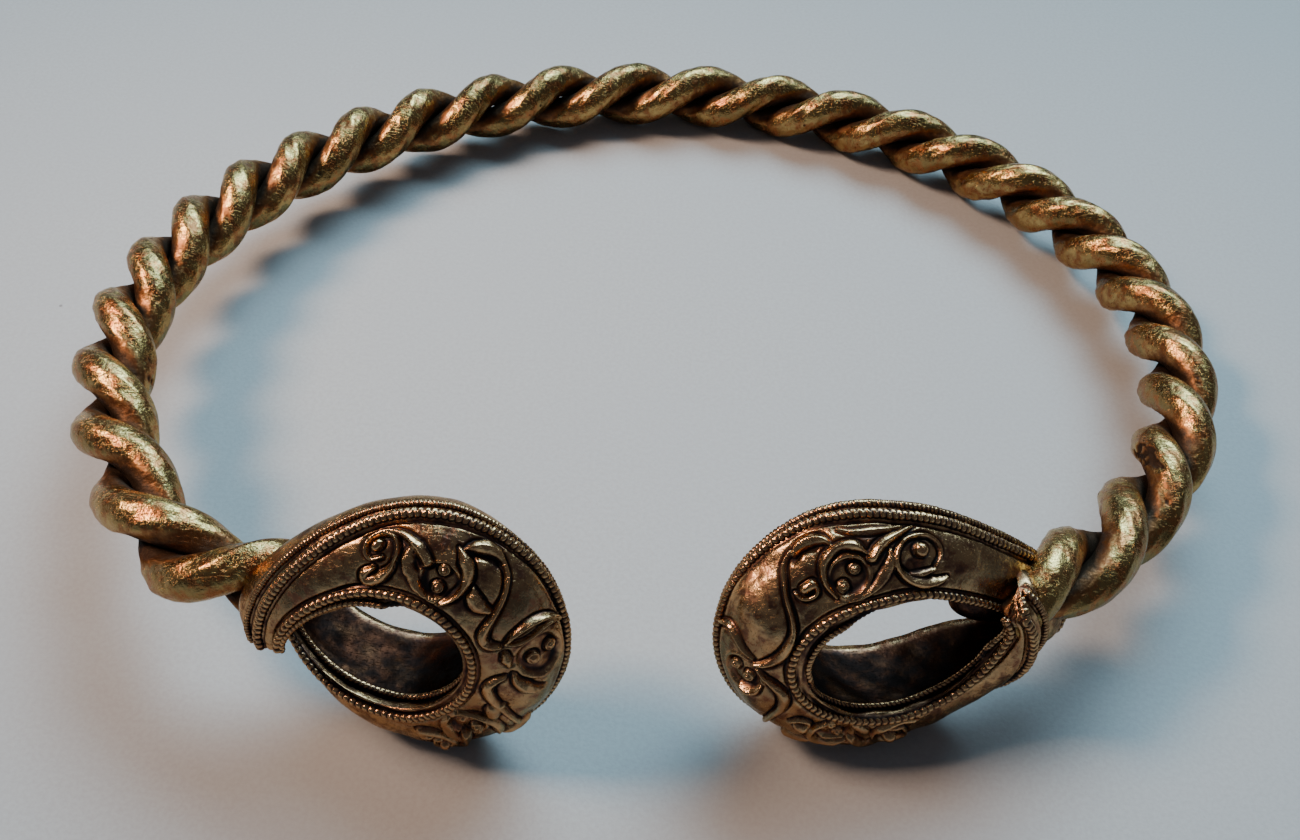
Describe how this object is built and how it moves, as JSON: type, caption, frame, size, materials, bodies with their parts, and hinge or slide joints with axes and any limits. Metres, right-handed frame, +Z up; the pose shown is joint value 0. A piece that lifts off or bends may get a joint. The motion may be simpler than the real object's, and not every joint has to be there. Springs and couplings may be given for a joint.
{
  "type": "torc",
  "caption": "Open neck ring of two thick gold bars twisted together, with cast loop terminals bearing curling relief ornament and milled borders.",
  "frame": {"origin": "centre of the bounding box on the surface the torc lies on", "axes": "+X across the hoop towards the right terminal's side, +Y from the terminals towards the back of the hoop, +Z up from the surface it lies on"},
  "size_m": [0.1874, 0.1614, 0.0414],
  "materials": {
    "bar_gold": "old gold, polished by handling, with faint hammered facets and small pits",
    "terminal_gold": "old gold as cast, brown dirt left in the hollows of the relief"
  },
  "bodies": {
    "root": {"twisted_bar_a": "bar_gold", "twisted_bar_b": "bar_gold", "terminal_left": "terminal_gold", "terminal_right": "terminal_gold"}
  },
  "joints": []
}
